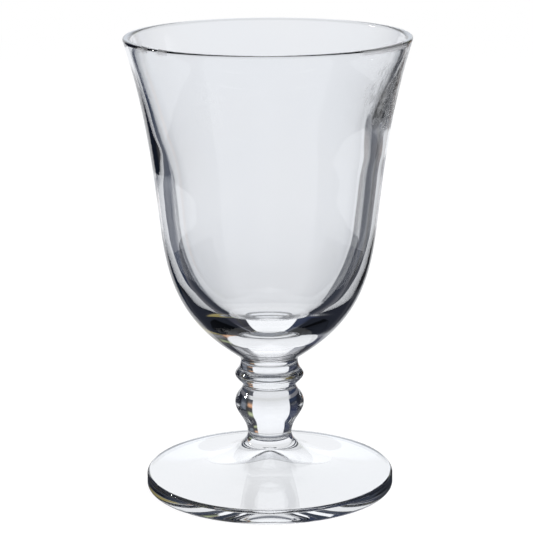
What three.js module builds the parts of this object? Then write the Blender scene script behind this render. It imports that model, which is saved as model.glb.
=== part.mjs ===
// A stemmed sake glass: flared bowl, collar, baluster knop and round foot, all of clear glass.
// Each piece is a revolved outline, and the pieces meet face to face at flat welds.
// Millimetres, +Z up, with the origin at the centre of the face that the glass stands on.
import * as THREE from "three";

// Foot, a thin hollow cone that flares up to its weld with the knop
const footHeight = 11;
const footRadius = 26;
const footEdgeHeight = 3;
const footUpperRound = 0.8; // corners of the upright edge
const footLowerRound = 0.5;
const footRise = 6; // degrees that the top climbs where it leaves the edge
const waistRadius = 4.62; // weld of foot and knop
const restWidth = 0.8; // flat ring that touches the table
const kickHeight = 5.8; // hollow under the foot, inside that ring
const kickRise = 5; // degrees that the hollow climbs where it leaves the ring
const kickPeakRise = 22; // degrees that it climbs where its rounded peak begins
const kickPeakRound = 3;

// Knop, a bulb that is fuller above than below
const knopHeight = 10.6;
const knopRadius = 7.27;
const knopBulgeHeight = 6.75; // widest point, above the waist
const grooveRadius = 5.61; // weld of knop and collar

// Collar
const collarHeight = 5.4;
const collarRadius = 7.2;
const collarRidgeHeight = 2.35; // widest point, above the groove
const neckRadius = 6; // weld of collar and bowl

// Bowl
const bowlHeight = 68;
const rimRadius = 29.3;
const lipThickness = 1.6;
const lipOuterRound = 0.4;
const lipInnerRound = 0.8; // the lip is rounder towards the drink
const rimFlare = 17.5; // degrees that the wall leans out at the lip
const bellyHeight = 28; // where the round base turns into the long wall
const bellyRadius = 22.2;
const bellyLean = 6.5; // degrees that the wall leans out there
const innerLean = 8.5; // degrees that its inner side leans, so that it thins towards the lip
const underAngle = 56; // degrees that the base spreads from the neck
const neckFillet = 1.5;
const wallThickness = 2.92; // at the belly
const baseThickness = 8.7; // solid glass between the neck and the drink

// How far each end of a curve holds its direction, as a share of its span
const kickEase = { leave: 0.33, arrive: 0.35 };
const footTopEase = { leave: 0.543, arrive: 0.154 };
const knopLowerEase = { leave: 0.43, arrive: 0.28 };
const knopUpperEase = { leave: 0.54, arrive: 0.33 };
const collarLowerEase = { leave: 0.32, arrive: 0.34 };
const collarUpperEase = { leave: 0.2, arrive: 0.62 };
const baseEase = { leave: 0.43, arrive: 0.39 };
const wallEase = { leave: 0.25, arrive: 0.38 };
const innerEase = { leave: 0.485, arrive: 0.296 };
const floorEase = { leave: 0.58, arrive: 0.4 };

// Facets
const sidesAround = 48;
const facetTurn = THREE.MathUtils.degToRad(15); // most that one facet bends from the next
const facetLength = 7; // longest facet along a curve

const quarterTurn = Math.PI / 2;
const halfTurn = Math.PI;

// The direction, in the plane of radius and height, that leans out from upright by some degrees.
function leaning(degrees) {
  const angle = THREE.MathUtils.degToRad(degrees);
  return new THREE.Vector2(Math.sin(angle), Math.cos(angle));
}

// Continues an outline to a point, leaving and arriving along two given directions.
function sweepTo(outline, end, leaveAlong, arriveAlong, ease) {
  const start = outline.currentPoint.clone();
  const span = start.distanceTo(end);
  const first = start.addScaledVector(leaveAlong, ease.leave * span);
  const second = end.clone().addScaledVector(arriveAlong, -ease.arrive * span);
  outline.bezierCurveTo(first.x, first.y, second.x, second.y, end.x, end.y);
}

// Continues an outline upwards to another radius, upright at both ends.
function swellTo(outline, radius, height, ease) {
  const { x: startRadius, y: startHeight } = outline.currentPoint;
  const rise = height - startHeight;
  const leaveHeight = startHeight + ease.leave * rise;
  const arriveHeight = height - ease.arrive * rise;
  outline.bezierCurveTo(startRadius, leaveHeight, radius, arriveHeight, radius, height);
}

function footOutline() {
  const restRadius = footRadius - footLowerRound;
  const kickEdge = new THREE.Vector2(restRadius - restWidth, 0);
  const kickPeakStart = quarterTurn - THREE.MathUtils.degToRad(kickPeakRise);
  const upperRadius = footRadius - footUpperRound;
  const upperHeight = footEdgeHeight - footUpperRound;
  const topStart = quarterTurn - THREE.MathUtils.degToRad(footRise);
  const waist = new THREE.Vector2(waistRadius, footHeight);

  const outline = new THREE.Path();
  outline.moveTo(0, kickHeight);
  outline.absarc(0, kickHeight - kickPeakRound, kickPeakRound, quarterTurn, kickPeakStart, true);
  sweepTo(outline, kickEdge, leaning(90 + kickPeakRise), leaning(90 + kickRise), kickEase);
  outline.lineTo(restRadius, 0);
  outline.absarc(restRadius, footLowerRound, footLowerRound, -quarterTurn, 0);
  outline.absarc(upperRadius, upperHeight, footUpperRound, 0, topStart);
  sweepTo(outline, waist, leaning(footRise - 90), leaning(0), footTopEase);
  outline.lineTo(0, footHeight);
  return outline;
}

function knopOutline() {
  const outline = new THREE.Path();
  outline.moveTo(0, 0);
  outline.lineTo(waistRadius, 0);
  swellTo(outline, knopRadius, knopBulgeHeight, knopLowerEase);
  swellTo(outline, grooveRadius, knopHeight, knopUpperEase);
  outline.lineTo(0, knopHeight);
  return outline;
}

function collarOutline() {
  const outline = new THREE.Path();
  outline.moveTo(0, 0);
  outline.lineTo(grooveRadius, 0);
  swellTo(outline, collarRadius, collarRidgeHeight, collarLowerEase);
  swellTo(outline, neckRadius, collarHeight, collarUpperEase);
  outline.lineTo(0, collarHeight);
  return outline;
}

function bowlOutline() {
  const under = THREE.MathUtils.degToRad(underAngle);
  const flare = THREE.MathUtils.degToRad(rimFlare);
  const lipOuterRadius = rimRadius - lipOuterRound;
  const lipOuterHeight = bowlHeight - lipOuterRound;
  const lipInnerRadius = rimRadius - lipThickness + lipInnerRound;
  const lipInnerHeight = bowlHeight - lipInnerRound;
  const outerLip = new THREE.Vector2(lipOuterRadius, lipOuterHeight);
  outerLip.addScaledVector(leaning(rimFlare + 90), lipOuterRound);
  const outerBelly = new THREE.Vector2(bellyRadius, bellyHeight);
  const innerBelly = new THREE.Vector2(bellyRadius - wallThickness, bellyHeight);
  const floor = new THREE.Vector2(0, baseThickness);
  const wallUp = leaning(bellyLean);
  const rimUp = leaning(rimFlare);
  const rimDown = leaning(rimFlare + 180);
  const innerDown = leaning(innerLean + 180);
  const inwards = new THREE.Vector2(-1, 0);

  const outline = new THREE.Path();
  outline.moveTo(0, 0);
  outline.lineTo(neckRadius, 0);
  outline.absarc(neckRadius + neckFillet, 0, neckFillet, halfTurn, halfTurn - under, true);
  sweepTo(outline, outerBelly, leaning(underAngle), wallUp, baseEase);
  sweepTo(outline, outerLip, wallUp, rimUp, wallEase);
  outline.absarc(lipOuterRadius, lipOuterHeight, lipOuterRound, -flare, quarterTurn);
  outline.absarc(lipInnerRadius, lipInnerHeight, lipInnerRound, quarterTurn, halfTurn - flare);
  sweepTo(outline, innerBelly, rimDown, innerDown, innerEase);
  sweepTo(outline, floor, innerDown, inwards, floorEase);
  return outline;
}

// The angle that a curve bends through, counting bends both ways.
function bendOf(curve) {
  const samples = 16;
  let bend = 0;
  let before = curve.getTangent(0);
  for (let sample = 1; sample <= samples; sample++) {
    const after = curve.getTangent(sample / samples);
    bend += before.angleTo(after);
    before = after;
  }
  return bend;
}

// Points along an outline: the ends of its lines, and enough of each curve to keep it round.
function facetPoints(outline) {
  const points = [outline.curves[0].getPoint(0)];
  for (const curve of outline.curves) {
    const facets = Math.max(bendOf(curve) / facetTurn, curve.getLength() / facetLength);
    const steps = curve.isLineCurve ? 1 : Math.ceil(facets);
    for (let step = 1; step <= steps; step++) points.push(curve.getPoint(step / steps));
  }
  return points;
}

function turned(name, outline, color) {
  const geometry = new THREE.LatheGeometry(facetPoints(outline), sidesAround);
  geometry.rotateX(quarterTurn);
  const look = { color, roughness: 0.02, metalness: 0, transparent: true, opacity: 0.35 };
  const mesh = new THREE.Mesh(geometry, new THREE.MeshStandardMaterial(look));
  mesh.name = name;
  return mesh;
}

// Bottom to top, each piece standing on the weld below it
const pieces = [
  { mesh: turned("foot", footOutline(), 0xf1f4f8), height: footHeight },
  { mesh: turned("knop", knopOutline(), 0xdfe3ea), height: knopHeight },
  { mesh: turned("collar", collarOutline(), 0xd8dde6), height: collarHeight },
  { mesh: turned("bowl", bowlOutline(), 0xe9ecf1), height: bowlHeight },
];
const glass = new THREE.Group();
let weldHeight = 0;
for (const { mesh, height } of pieces) {
  mesh.position.z = weldHeight;
  glass.add(mesh);
  weldHeight += height;
}

export default glass;
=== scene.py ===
import math

import bmesh
import bpy
from mathutils import Matrix, Vector
from mathutils.geometry import interpolate_bezier


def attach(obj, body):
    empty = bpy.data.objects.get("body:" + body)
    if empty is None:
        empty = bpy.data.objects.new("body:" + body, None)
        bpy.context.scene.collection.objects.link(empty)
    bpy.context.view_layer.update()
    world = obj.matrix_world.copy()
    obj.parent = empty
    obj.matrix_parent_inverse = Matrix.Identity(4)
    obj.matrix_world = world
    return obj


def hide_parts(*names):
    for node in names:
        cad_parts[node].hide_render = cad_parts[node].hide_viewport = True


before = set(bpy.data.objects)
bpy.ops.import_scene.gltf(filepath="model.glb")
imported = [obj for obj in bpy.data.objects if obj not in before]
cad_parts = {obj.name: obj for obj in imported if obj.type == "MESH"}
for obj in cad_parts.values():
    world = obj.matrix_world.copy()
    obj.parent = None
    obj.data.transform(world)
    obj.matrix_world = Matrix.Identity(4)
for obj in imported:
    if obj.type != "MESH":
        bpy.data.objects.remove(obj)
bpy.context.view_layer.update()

scene = bpy.context.scene
scene.view_settings.view_transform = "Standard"
mm = 0.001


# shader maths: a Wire is a socket that can be added, multiplied, compared and so on

class Wire:
    def __init__(self, graph, socket):
        self.graph = graph
        self.socket = socket

    def __add__(self, other):
        return self.graph.maths("ADD", self, other)

    __radd__ = __add__

    def __sub__(self, other):
        return self.graph.maths("SUBTRACT", self, other)

    def __rsub__(self, other):
        return self.graph.maths("SUBTRACT", other, self)

    def __mul__(self, other):
        return self.graph.maths("MULTIPLY", self, other)

    __rmul__ = __mul__

    def __truediv__(self, other):
        return self.graph.maths("DIVIDE", self, other)

    def __rtruediv__(self, other):
        return self.graph.maths("DIVIDE", other, self)

    def __gt__(self, other):
        return self.graph.maths("GREATER_THAN", self, other)

    def __lt__(self, other):
        return self.graph.maths("LESS_THAN", self, other)

    def __abs__(self):
        return self.graph.maths("ABSOLUTE", self)


class Graph:
    def __init__(self, owner):
        owner.use_nodes = True
        self.tree = owner.node_tree
        self.tree.nodes.clear()

    def node(self, kind, settings=None, sockets=None):
        made = self.tree.nodes.new(kind)
        settings = dict(settings or {})
        stops = settings.pop("stops", ())
        for name, value in settings.items():
            setattr(made, name, value)
        for spare in range(len(stops) - 2):  # a new ramp has two stops
            made.color_ramp.elements.new(1)
        for spot, (place, colour) in enumerate(stops):
            made.color_ramp.elements[spot].position = place
            made.color_ramp.elements[spot].color = (*colour, 1)
        for key, value in (sockets or {}).items():
            socket = made.inputs[key]
            if isinstance(value, Wire):
                self.tree.links.new(value.socket, socket)
            else:
                socket.default_value = (*value, 1) if socket.type == "RGBA" else value
        return {key: Wire(self, out) for i, out in enumerate(made.outputs) for key in (i, out.name)}

    def maths(self, operation, first, second=0):
        return self.node("ShaderNodeMath", {"operation": operation}, {0: first, 1: second})[0]

    def smooth(self, value, start, end):  # 0 at start, 1 at end, whichever is the larger
        settings = {"interpolation_type": "SMOOTHSTEP"}
        return self.node("ShaderNodeMapRange", settings, {0: value, 1: start, 2: end})[0]

    def band(self, value, rise, fall):  # 1 between a rising and a falling step
        return self.smooth(value, *rise) * self.smooth(value, *fall)

    def ramp(self, value, stops):  # colours at given values
        low, high = stops[0][0], stops[-1][0]
        share = self.node("ShaderNodeMapRange", None, {0: value, 1: low, 2: high})[0]
        placed = [((place - low) / (high - low), colour) for place, colour in stops]
        return self.node("ShaderNodeValToRGB", {"stops": placed}, {0: share})["Color"]

    def mix(self, share, first, second, blend="MIX"):
        settings = {"data_type": "RGBA", "blend_type": blend}
        return self.node("ShaderNodeMix", settings, {0: share, 6: first, 7: second})[2]

    def noise(self, spot, scale, detail):
        return self.node("ShaderNodeTexNoise", None, {"Vector": spot, "Scale": scale, "Detail": detail})[0]


# outlines: radius and height in millimetres

class Outline:
    def __init__(self, radius, height):
        self.points = [Vector((radius, height))]

    def line(self, radius, height):
        self.points.append(Vector((radius, height)))

    def arc(self, centre, radius, startTurn, endTurn, steps):
        for step in range(1, steps + 1):
            turn = math.radians(startTurn + (endTurn - startTurn) * step / steps)
            self.points.append(Vector(centre) + radius * Vector((math.cos(turn), math.sin(turn))))

    def sweep(self, end, leaveAlong, arriveAlong, ease, steps):
        start, end = self.points[-1], Vector(end)
        span = (end - start).length
        first = start + leaveAlong * ease[0] * span
        second = end - arriveAlong * ease[1] * span
        self.points += interpolate_bezier(start, first, second, end, steps + 1)[1:]

    def swell(self, radius, height, ease, steps):  # upright at both ends
        start = self.points[-1]
        rise = height - start.y
        first = start + Vector((0, ease[0] * rise))
        second = Vector((radius, height - ease[1] * rise))
        self.points += interpolate_bezier(start, first, second, Vector((radius, height)), steps + 1)[1:]


def leaning(degrees):  # a direction that leans out from upright
    return Vector((math.sin(math.radians(degrees)), math.cos(math.radians(degrees))))


def along(stops, height):  # a smooth curve through the stops, flat at its ends
    spot = sum(height >= place for place, depth in stops) - 1
    if not 0 <= spot < len(stops) - 1:
        return 0
    slope = [0] + [(c[1] - a[1]) / (c[0] - a[0]) for a, c in zip(stops, stops[2:])] + [0]
    (low, first), (high, last) = stops[spot:spot + 2]
    span = high - low
    t = (height - low) / span
    rise = t * t * (3 - 2 * t)
    bend = t * (1 - t) * span * (slope[spot] * (1 - t) - slope[spot + 1] * t)
    return first + (last - first) * rise + bend


# turned pieces; the gaps are in metres
turning = {"steps": 192, "mergeGap": 1e-7, "sliver": 1e-8, "axisGap": 1e-6}


def waver(bm, waves):  # moves the inner wall where the blown glass is thicker or thinner
    bm.normal_update()
    for vert in bm.verts:
        around = vert.co.xy
        if around.length < turning["axisGap"] or vert.normal.xy.dot(around) >= 0:
            continue
        turn = math.degrees(math.atan2(around.x, around.y))
        push = 0
        for toward, wide, stops in waves:
            push += along(stops, vert.co.z / mm) * math.exp(-((turn - toward) / wide) ** 4)
        vert.co.xy = around * (1 - push * mm / around.length)


def turnedPiece(name, outline, base, welds, glass, weld, waves=()):
    bm = bmesh.new()
    chain = [bm.verts.new((p.x * mm, 0, (base + p.y) * mm)) for p in outline.points]
    edges = [bm.edges.new(pair) for pair in zip(chain, chain[1:])]
    bmesh.ops.spin(bm, geom=chain + edges, axis=(0, 0, 1), cent=(0, 0, 0), angle=2 * math.pi,
                   steps=turning["steps"], use_merge=True)
    bmesh.ops.remove_doubles(bm, verts=bm.verts, dist=turning["mergeGap"])
    bmesh.ops.dissolve_degenerate(bm, edges=bm.edges, dist=turning["sliver"])
    bmesh.ops.recalc_face_normals(bm, faces=bm.faces)
    if waves:
        waver(bm, waves)
    for face in bm.faces:
        face.smooth = True
        welded = any(all(abs(v.co.z - h * mm) < turning["mergeGap"] for v in face.verts) for h in welds)
        face.material_index = int(welded)
    for edge in bm.edges:
        edge.smooth = len({face.material_index for face in edge.link_faces}) == 1
    mesh = bpy.data.meshes.new(name)
    bm.to_mesh(mesh)
    bm.free()
    mesh.materials.append(glass)
    mesh.materials.append(weld)
    piece = bpy.data.objects.new(name, mesh)
    scene.collection.objects.link(piece)
    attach(piece, "root")
    return piece


# clear glass; each piece has its own tints and waves
clearGlass = {"ior": 1.5, "shadow": (0.97, 0.97, 0.97), "cloudEdge": (0.35, 0.65)}


def smears(g, spot, patch, lip):  # how much the wall is rippled and how rough the wall and the lip are
    place = g.node("ShaderNodeSeparateXYZ", None, {0: spot})
    across = place["X"] - (place["Z"] - patch["middle"]) * patch["slant"]
    inside = g.smooth(across, *patch["across"]) * g.band(place["Z"], patch["low"], patch["high"])
    fine = g.noise(spot, patch["scale"], 1)
    rough = inside * g.smooth(fine, *patch["fineEdge"]) * patch["smear"]
    spots = 0
    for centre, half, edge in lip["spots"]:
        spots = spots + g.smooth(abs(place["X"] - centre), half + edge, half)
    front = g.smooth(place["Y"], *lip["front"]) * g.smooth(place["Z"], *lip["low"])
    return inside * fine, rough + spots * front * lip["smear"]


def glassMaterial(name, look):
    material = bpy.data.materials.new(name)
    g = Graph(material)
    spot = g.node("ShaderNodeTexCoord")["Object"]
    cloud = g.noise(spot, look["cloudScale"], 2)
    tint = g.mix(g.smooth(cloud, *clearGlass["cloudEdge"]), look["clear"], look["cool"])
    wave = g.noise(spot, look["waveScale"], 1)
    rough = 0
    if "patch" in look:
        ripple, rough = smears(g, spot, look["patch"], look["lip"])
        wave = wave + ripple * (look["patch"]["depth"] / look["waveDepth"])
    bump = g.node("ShaderNodeBump", None, {"Height": wave, "Strength": 1, "Distance": look["waveDepth"]})[0]
    glass = g.node("ShaderNodeBsdfPrincipled", None, {
        "Base Color": tint, "Roughness": rough, "IOR": clearGlass["ior"], "Transmission Weight": 1,
        "Normal": bump})[0]
    clear = g.node("ShaderNodeBsdfTransparent", None, {"Color": clearGlass["shadow"]})[0]
    shadow = g.node("ShaderNodeLightPath")["Is Shadow Ray"]
    both = g.node("ShaderNodeMixShader", None, {0: shadow, 1: glass, 2: clear})[0]
    g.node("ShaderNodeOutputMaterial", None, {"Surface": both})
    return material


def weldMaterial():  # the inside of a fused joint, which is not seen
    material = bpy.data.materials.new("fusedWeld")
    g = Graph(material)
    g.node("ShaderNodeOutputMaterial", None, {"Surface": g.node("ShaderNodeBsdfTransparent")[0]})
    return material


weld = weldMaterial()
waistWeld, grooveWeld, neckWeld, rimTop = 11, 21.6, 27, 95  # millimetres above the table

# foot: a thin hollow cone that flares up into the stem, with an upright edge
foot = {"radius": 26, "edge": 3, "lowRound": 0.5, "highRound": 0.8, "topRise": 6, "topEase": (0.543, 0.154),
        "waist": 4.62, "restWidth": 0.8, "kick": 5.8, "kickRise": 5, "peakRise": 22, "peakRound": 3,
        "kickEase": (0.33, 0.35)}
footLook = {"clear": (0.99, 0.995, 1), "cool": (0.98, 0.99, 1), "cloudScale": 60,
            "waveScale": 90, "waveDepth": 0.000004}
restRadius = foot["radius"] - foot["lowRound"]
highCentre = (foot["radius"] - foot["highRound"], foot["edge"] - foot["highRound"])
o = Outline(0, foot["kick"])
o.arc((0, foot["kick"] - foot["peakRound"]), foot["peakRound"], 90, 90 - foot["peakRise"], steps=6)
o.sweep((restRadius - foot["restWidth"], 0), leaning(90 + foot["peakRise"]), leaning(90 + foot["kickRise"]),
        foot["kickEase"], steps=48)
o.line(restRadius, 0)
o.arc((restRadius, foot["lowRound"]), foot["lowRound"], -90, 0, steps=8)
o.arc(highCentre, foot["highRound"], 0, 90 - foot["topRise"], steps=10)
o.sweep((foot["waist"], waistWeld), leaning(foot["topRise"] - 90), leaning(0), foot["topEase"], steps=64)
o.line(0, waistWeld)
footPiece = turnedPiece("footGlass", o, 0, [waistWeld], glassMaterial("footGlass", footLook), weld)

# knop: the bulb of the stem
knop = {"bulge": 7.27, "bulgeHeight": 6.75, "groove": 5.61,
        "lowerEase": (0.43, 0.28), "upperEase": (0.54, 0.33)}
stemLook = {"clear": (0.985, 0.992, 1), "cool": (0.965, 0.98, 1), "cloudScale": 120,
            "waveScale": 150, "waveDepth": 0.000003}  # the collar's too
knopRise = grooveWeld - waistWeld
o = Outline(0, 0)
o.line(foot["waist"], 0)
o.swell(knop["bulge"], knop["bulgeHeight"], knop["lowerEase"], steps=40)
o.swell(knop["groove"], knopRise, knop["upperEase"], steps=32)
o.line(0, knopRise)
knopPiece = turnedPiece("knopGlass", o, waistWeld, [waistWeld, grooveWeld],
                        glassMaterial("knopGlass", stemLook), weld)

# collar: a short ring with one ridge
collar = {"ridge": 7.2, "ridgeHeight": 2.35, "neck": 6, "lowerEase": (0.32, 0.34), "upperEase": (0.2, 0.62)}
collarRise = neckWeld - grooveWeld
o = Outline(0, 0)
o.line(knop["groove"], 0)
o.swell(collar["ridge"], collar["ridgeHeight"], collar["lowerEase"], steps=32)
o.swell(collar["neck"], collarRise, collar["upperEase"], steps=32)
o.line(0, collarRise)
collarPiece = turnedPiece("collarGlass", o, grooveWeld, [grooveWeld, neckWeld],
                          glassMaterial("collarGlass", stemLook), weld)

# bowl: the outline runs up the outside, over the lip and down the inside
bowl = {"rim": 29.3, "lip": 1.6, "lipOuter": 0.4, "lipInner": 0.8, "rimFlare": 17.5,
        "belly": 22.2, "bellyHeight": 28, "bellyLean": 6.5, "under": 56, "neckFillet": 1.5,
        "baseEase": (0.43, 0.39), "wallEase": (0.25, 0.38),
        "wall": 2.92, "innerLean": 8.5, "innerEase": (0.485, 0.296), "base": 8.7, "floorEase": (0.58, 0.4)}
bowlLook = {  # a smeared patch on the right wall, and short smears on the front of the lip, in metres
    "clear": (0.99, 0.994, 1), "cool": (0.982, 0.99, 1), "cloudScale": 40,
    "waveScale": 55, "waveDepth": 0.000006,
    "patch": {"across": (0.0223, 0.024), "slant": 0.45, "middle": 0.0814,
              "low": (0.075, 0.0785), "high": (0.091, 0.086),
              "scale": 450, "depth": 0.000008, "fineEdge": (0.3, 0.7), "smear": 0.4},
    "lip": {"low": (0.0938, 0.0942), "front": (0, -0.002), "smear": 0.45,
            "spots": ((-0.024, 0.0005, 0.0004), (-0.0202, 0.0007, 0.0005), (0.0222, 0.0035, 0.002))},
}
bowlWaves = (  # azimuth and half width in degrees, then heights and how far the inner wall comes in there
    (-90, 55, ((36.5, 0), (39, 0.4), (42, 0.45), (46, 0.3), (52, 0.2), (57, 0.25), (62, 0.36), (67, 0.38),
               (71, 0.22), (76, -0.05), (83, -0.16), (89, -0.12), (94, 0))),
    (90, 55, ((36.5, 0), (39, 0.4), (43, 0.45), (48, 0.33), (54, 0.25), (60, 0.33), (66, 0.43), (71, 0.5),
              (75, 0.67), (79, 0.72), (83, 0.45), (87, 0.15), (91, 0), (94, 0))),
)
bowlRise = rimTop - neckWeld
outerLip = Vector((bowl["rim"] - bowl["lipOuter"], bowlRise - bowl["lipOuter"]))
innerLip = Vector((bowl["rim"] - bowl["lip"] + bowl["lipInner"], bowlRise - bowl["lipInner"]))
o = Outline(0, 0)
o.line(collar["neck"], 0)
o.arc((collar["neck"] + bowl["neckFillet"], 0), bowl["neckFillet"], 180, 180 - bowl["under"], steps=12)
o.sweep((bowl["belly"], bowl["bellyHeight"]), leaning(bowl["under"]), leaning(bowl["bellyLean"]),
        bowl["baseEase"], steps=48)
o.sweep(outerLip + bowl["lipOuter"] * leaning(bowl["rimFlare"] + 90), leaning(bowl["bellyLean"]),
        leaning(bowl["rimFlare"]), bowl["wallEase"], steps=40)
o.arc(outerLip, bowl["lipOuter"], -bowl["rimFlare"], 90, steps=14)
o.arc(innerLip, bowl["lipInner"], 90, 180 - bowl["rimFlare"], steps=14)
o.sweep((bowl["belly"] - bowl["wall"], bowl["bellyHeight"]), leaning(bowl["rimFlare"] + 180),
        leaning(bowl["innerLean"] + 180), bowl["innerEase"], steps=40)
o.sweep((0, bowl["base"]), leaning(bowl["innerLean"] + 180), leaning(-90), bowl["floorEase"], steps=56)
bowlPiece = turnedPiece("bowlGlass", o, neckWeld, [neckWeld],
                        glassMaterial("bowlGlass", bowlLook), weld, bowlWaves)

for piece, node, slot in ((footPiece, "foot", "foot_glass"), (knopPiece, "knop", "stem_glass"),
                          (collarPiece, "collar", "stem_glass"), (bowlPiece, "bowl", "bowl_glass")):
    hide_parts(node)
print("pieces made")

# camera: millimetres and degrees; focal and frame in pixels
view = {"distance": 413.2, "height": 150.6, "pitch": 14.08, "yaw": 0.069, "roll": -0.3,
        "focal": 2054.2, "frame": 533, "sensor": 36, "nearest": 10}
cameraData = bpy.data.cameras.new("camera")
cameraData.sensor_width = view["sensor"]
cameraData.lens = view["sensor"] * view["focal"] / view["frame"]
cameraData.clip_start = view["nearest"] * mm
camera = bpy.data.objects.new("camera", cameraData)
camera.matrix_world = (Matrix.Translation((0, -view["distance"] * mm, view["height"] * mm))
                       @ Matrix.Rotation(math.radians(view["yaw"]), 4, "Z")
                       @ Matrix.Rotation(math.radians(90 - view["pitch"]), 4, "X")
                       @ Matrix.Rotation(math.radians(view["roll"]), 4, "Z"))
scene.collection.objects.link(camera)
scene.camera = camera
print("camera set")


def rayPath(g):  # whether the glass sent the ray here, and its reflections and faces passed so far
    path = g.node("ShaderNodeLightPath")
    seen = g.maths("MAXIMUM", path["Is Glossy Ray"], path["Is Transmission Ray"])
    return seen, path["Glossy Depth"], path["Transmission Depth"]


def azimuthOf(g, place):  # degrees, 0 straight behind the glass and 90 to its right
    return g.maths("ARCTAN2", place["X"], place["Y"]) * math.degrees(1)


# world: a white card behind the glass, dark flags beside it, and smaller cards for the other sides
# places are azimuths or elevations in degrees; a pair is where a soft edge starts and ends
studio = {
    "left": -27.5, "right": 22.3, "soft": 0.8, "cardColour": (1.17, 1.188, 1.224),
    "cardTone": ((-60, 0.62), (-40, 0.62), (-30, 0.66), (-20, 0.68), (-14, 0.75), (-8, 0.78), (0, 0.81),
                 (10, 0.85), (20, 0.88), (40, 0.93), (60, 0.93)),
    "middle": (-1, 1), "warmEnd": (28, 33), "gapEnd": (33, 37), "farLeft": (-40, -56), "farRight": (46, 54),
    "leftTone": ((-60, (0.1, 0.1, 0.12)), (-24, (0.03, 0.045, 0.085)), (-15, (0.03, 0.04, 0.07)),
                 (-10, (0.03, 0.033, 0.045)), (2, (0.03, 0.036, 0.07)), (16, (0.035, 0.045, 0.09)),
                 (46, (0.035, 0.045, 0.08)), (60, (0.5, 0.51, 0.55)), (72, (0.78, 0.79, 0.82))),
    "warmTone": ((-60, (0.1, 0.105, 0.12)), (-18, (0.08, 0.085, 0.1)), (-14, (0.2, 0.17, 0.16)),
                 (-9, (0.75, 0.42, 0.25)), (-5, (0.6, 0.33, 0.2)), (-2, (0.08, 0.07, 0.07)),
                 (7, (0.06, 0.06, 0.06)), (11, (0.3, 0.34, 0.2)), (15, (0.5, 0.56, 0.32)),
                 (19, (0.2, 0.22, 0.16)), (23, (0.04, 0.04, 0.05)), (46, (0.04, 0.04, 0.05)),
                 (60, (0.5, 0.51, 0.54)), (72, (0.78, 0.79, 0.82))),
    "gapTone": (0.05, 0.05, 0.05),
    "rightTone": ((-60, (0.1, 0.1, 0.12)), (-22, (0.065, 0.075, 0.1)), (-14, (0.065, 0.072, 0.09)),
                  (-4, (0.18, 0.2, 0.24)), (5, (0.17, 0.19, 0.23)), (10, (0.04, 0.045, 0.055)),
                  (46, (0.05, 0.05, 0.07)), (60, (0.5, 0.51, 0.54)), (72, (0.78, 0.79, 0.82))),
    "farTone": ((-60, (0.7, 0.71, 0.73)), (-12, (0.7, 0.71, 0.73)), (-3, (0.1, 0.105, 0.115)),
                (4, (0.015, 0.017, 0.025)), (60, (0.012, 0.014, 0.02))),
    "farStraight": (0.015, 0.017, 0.025),  # where the ray was not reflected
    "cards": ((-45, 6, 0, 0.9), (45, 6, 0, 0.9), (-90, 14, 0.95, 0.95), (90, 14, 0.95, 0.95),
              (-135, 18, 0.95, 0.95), (135, 18, 0.95, 0.95), (180, 16, 0.95, 0.95),
              (-180, 16, 0.95, 0.95)),  # azimuth, half width, strength through one wall and through two
    "below": (-46, -54),  # white again further down
    "skim": ((0, 2), (16, 11)),  # this and the next three show only by reflection
    "strip": {"up": ((5.4, 6.4), (17, 13)), "across": (20, 14), "tone": (1.3, 1.37, 1.47)},
    "roof": {"up": (8, 14), "across": ((82, 90), (135, 128)), "tone": (0.62, 0.64, 0.68)},
    "brass": {"up": ((-6, -3), (7, 5)), "across": ((34, 38), (72, 66)), "tone": (0.32, 0.27, 0.11)},
}


def flags(g, azimuth, elevation, mirrored):  # the dark sides, tinted just right of the card
    far = g.mix(mirrored, studio["farStraight"], g.ramp(elevation, studio["farTone"]))
    left = g.mix(g.smooth(azimuth, *studio["farLeft"]), g.ramp(elevation, studio["leftTone"]), far)
    cool = g.ramp(elevation, studio["rightTone"])
    right = g.mix(g.smooth(azimuth, *studio["gapEnd"]), studio["gapTone"], cool)
    right = g.mix(g.smooth(azimuth, *studio["warmEnd"]), g.ramp(elevation, studio["warmTone"]), right)
    right = g.mix(g.smooth(azimuth, *studio["farRight"]), right, far)
    return g.mix(g.smooth(azimuth, *studio["middle"]), left, right)


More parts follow.
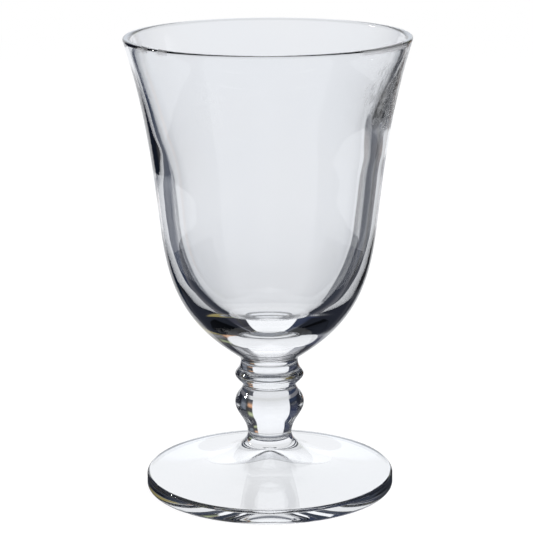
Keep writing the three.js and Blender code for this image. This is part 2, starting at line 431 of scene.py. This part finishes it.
def studioWorld():
    world = bpy.data.worlds.new("studio")
    g = Graph(world)
    seen, bounces, faces = rayPath(g)
    direction = g.node("ShaderNodeSeparateXYZ", None, {0: g.node("ShaderNodeTexCoord")["Generated"]})
    azimuth = azimuthOf(g, direction)
    elevation = g.maths("ARCSINE", direction["Z"]) * math.degrees(1)
    mirrored, twoWalls = bounces > 0, faces > 3
    outside = mirrored * (faces < 1)  # reflected without going into the glass
    soft, strip, roof, brass = (studio[name] for name in ("soft", "strip", "roof", "brass"))
    white = g.ramp(elevation, [(place, (level,) * 3) for place, level in studio["cardTone"]])
    white = g.mix(1, white, studio["cardColour"], "MULTIPLY")

    others = 0
    for centre, half, single, double in studio["cards"]:
        level = single + (double - single) * twoWalls
        others = others + g.smooth(abs(azimuth - centre), half + soft, half - soft) * level
    skim = outside * g.band(elevation, *studio["skim"])  # seen along the top of the foot
    picture = g.mix(others * (1 - mirrored + skim), flags(g, azimuth, elevation, mirrored), white)
    leftEdge = (studio["left"] - soft, studio["left"] + soft)
    rightEdge = (studio["right"] + soft, studio["right"] - soft)
    picture = g.mix(g.band(azimuth, leftEdge, rightEdge), picture, white)

    stripShare = outside * g.band(elevation, *strip["up"]) * g.smooth(abs(azimuth), *strip["across"])
    picture = g.mix(stripShare, picture, strip["tone"])
    picture = g.mix(g.smooth(elevation, *studio["below"]), picture, white)
    roofShare = g.band(abs(azimuth), *roof["across"]) * g.smooth(elevation, *roof["up"])
    picture = g.mix(roofShare * (bounces > 1) * (bounces < 4), picture, roof["tone"])
    brassShare = g.band(azimuth, *brass["across"]) * g.band(elevation, *brass["up"])
    picture = g.mix(brassShare * (bounces > 2), picture, brass["tone"])
    backdrop = g.mix(seen, (1, 1, 1), picture)  # plain white to the camera
    light = g.node("ShaderNodeBackground", None, {"Color": backdrop, "Strength": 1})[0]
    g.node("ShaderNodeOutputWorld", None, {"Surface": light})
    return world


scene.world = studioWorld()

# floor: pale paper; to the glass it shows painted shade and a painted shadow round the foot, and beyond a
# near ring the glass looks past it to the cards
# radius in metres, other distances from the axis in millimetres, azimuths in degrees
floor = {
    "radius": 3, "segments": 96, "colour": (0.9, 0.9, 0.9), "glow": 0.5, "fade": (200, 700),
    "near": 45, "sideNear": 150, "footEdge": (25.4, 26),
    # painted shadow: a dark ring on the paper just outside the foot's edge, seen only through the glass
    "nearShadow": ((0, (0.84, 0.85, 0.87)), (25.4, (0.84, 0.85, 0.87)), (26, (0.03, 0.04, 0.06)),
                 (29, (0.06, 0.07, 0.1)), (34, (0.3, 0.31, 0.34)), (39, (0.6, 0.61, 0.62)),
                 (45, (0.8, 0.81, 0.82))),
    "flank": ((20, 27), (64, 56)),
    # painted shade: the ring stays darker on the back flanks
    "flankShadow": ((0, (0.84, 0.85, 0.87)), (25.4, (0.84, 0.85, 0.87)), (26, (0.03, 0.04, 0.06)),
                  (29, (0.06, 0.07, 0.1)), (34, (0.16, 0.16, 0.18)), (45, (0.2, 0.2, 0.22))),
    # painted shade: dark paper to either side, seen only in reflections, out to 150 mm
    "side": ((40, 60), (140, 120)), "sideShade": (0.04, 0.045, 0.06),
    "flare": (18, 12), "flareTone": (0.85, 0.86, 0.88),
    # painted shade: paper under the foot, darker in a ring, seen only by reflection; darker still after
    # several reflections and at the foot's edge
    "underShade": ((0, (0.36, 0.38, 0.42)), (5, (0.34, 0.36, 0.4)), (8, (0.13, 0.14, 0.16)),
                  (11, (0.16, 0.17, 0.2)), (15, (0.5, 0.51, 0.53)), (25.4, (0.6, 0.61, 0.63))),
    "deepShade": ((0, (0.14, 0.15, 0.17)), (10, (0.16, 0.17, 0.2)), (12, (0.7, 0.71, 0.73)),
                 (25.4, (0.7, 0.71, 0.73))),
    "edge": (20, 22.5), "edgeShade": (0.025, 0.03, 0.045), "openTone": (0.8, 0.81, 0.83),
    # painted reflection: a brass-coloured patch on the paper at the front left of the foot's edge, seen
    # only after two or more reflections
    "brass": {"away": ((23, 24), (27, 26)), "across": ((-152, -142), (-100, -106)),
              "tone": (0.3, 0.25, 0.1)},
}


def paintedFloorShade(g, away, azimuth, side, bounces, faces):  # painted shade, a painted shadow round the foot and a painted brass reflection on the paper, which only the glass shows
    mirrored, again = bounces > 0, bounces > 1
    beyond = g.smooth(away, *floor["footEdge"])
    flank = g.band(abs(azimuth), *floor["flank"])
    tone = g.mix(flank, g.ramp(away, floor["nearShadow"]), g.ramp(away, floor["flankShadow"]))
    tone = g.mix(side * beyond, tone, floor["sideShade"])
    flare = mirrored * (bounces < 3) * g.smooth(abs(azimuth), *floor["flare"])
    tone = g.mix(flare * beyond, tone, floor["flareTone"])
    # painted shade under the foot, seen only by reflection
    edge = (bounces > 3) * g.smooth(away, *floor["edge"])
    deep = g.mix(edge, g.ramp(away, floor["deepShade"]), floor["edgeShade"])
    under = g.mix(again, g.ramp(away, floor["underShade"]), deep)
    tone = g.mix(mirrored * (1 - beyond), tone, under)
    tone = g.mix((faces > 3) * (1 - mirrored) * beyond, tone, floor["openTone"])
    # the painted brass reflection at the foot's edge
    brass = floor["brass"]
    brassShare = g.band(away, *brass["away"]) * g.band(azimuth, *brass["across"])
    return g.mix(brassShare * again, tone, brass["tone"])


def floorMaterial():
    material = bpy.data.materials.new("floor")
    g = Graph(material)
    seen, bounces, faces = rayPath(g)
    spot = g.node("ShaderNodeTexCoord")["Object"]
    away = g.node("ShaderNodeVectorMath", {"operation": "LENGTH"}, {0: spot})["Value"] / mm
    azimuth = azimuthOf(g, g.node("ShaderNodeSeparateXYZ", None, {0: spot}))
    # where the paper is painted dark to the sides for reflected rays
    side = g.band(abs(azimuth), *floor["side"]) * (bounces > 0)
    paper = g.node("ShaderNodeBsdfDiffuse", None, {"Color": floor["colour"]})[0]
    glow = g.node("ShaderNodeEmission", None, {"Color": (1, 1, 1), "Strength": 1})[0]
    fade = floor["glow"] + g.smooth(away, *floor["fade"]) * (1 - floor["glow"])  # white far away
    lit = g.node("ShaderNodeMixShader", None, {0: fade, 1: paper, 2: glow})[0]
    # painted shade on the paper, emitted only for rays that come from the glass
    tone = paintedFloorShade(g, away, azimuth, side, bounces, faces)
    shade = g.node("ShaderNodeEmission", None, {"Color": tone, "Strength": 1})[0]
    near = g.node("ShaderNodeMixShader", None, {0: seen, 1: lit, 2: shade})[0]
    past = seen * (away > floor["near"] + (floor["sideNear"] - floor["near"]) * side)
    clear = g.node("ShaderNodeBsdfTransparent")[0]
    both = g.node("ShaderNodeMixShader", None, {0: past, 1: near, 2: clear})[0]
    g.node("ShaderNodeOutputMaterial", None, {"Surface": both})
    return material


bm = bmesh.new()
bmesh.ops.create_circle(bm, cap_ends=True, segments=floor["segments"], radius=floor["radius"])
floorMesh = bpy.data.meshes.new("floor")
bm.to_mesh(floorMesh)
bm.free()
floorMesh.materials.append(floorMaterial())
floorPiece = bpy.data.objects.new("floor", floorMesh)
scene.collection.objects.link(floorPiece)

# lamps: metres and watts; only the glint lamp shows in the glass
lamps = {"keyLamp": {"place": (-0.7, -0.6, 0.9), "across": 0.5, "power": 5, "glint": False},
         "fillLamp": {"place": (0.8, -0.5, 0.7), "across": 0.5, "power": 3, "glint": False},
         "glintLamp": {"place": (-1.065, 0.367, 0.65), "across": 0.12, "power": 2.5, "glint": True}}
for name, plan in lamps.items():
    lampData = bpy.data.lights.new(name, "AREA")
    lampData.shape = "SQUARE"
    lampData.size = plan["across"]
    lampData.energy = plan["power"]
    lamp = bpy.data.objects.new(name, lampData)
    aim = Vector(plan["place"]).to_track_quat("Z", "Y").to_matrix().to_4x4()  # at the middle of the foot
    lamp.matrix_world = Matrix.Translation(plan["place"]) @ aim
    lamp.visible_glossy = plan["glint"]
    lamp.visible_transmission = False
    scene.collection.objects.link(lamp)
print("studio lit")

scene.cycles.max_bounces = 24
scene.cycles.transmission_bounces = 24
scene.cycles.glossy_bounces = 12
scene.cycles.transparent_max_bounces = 24
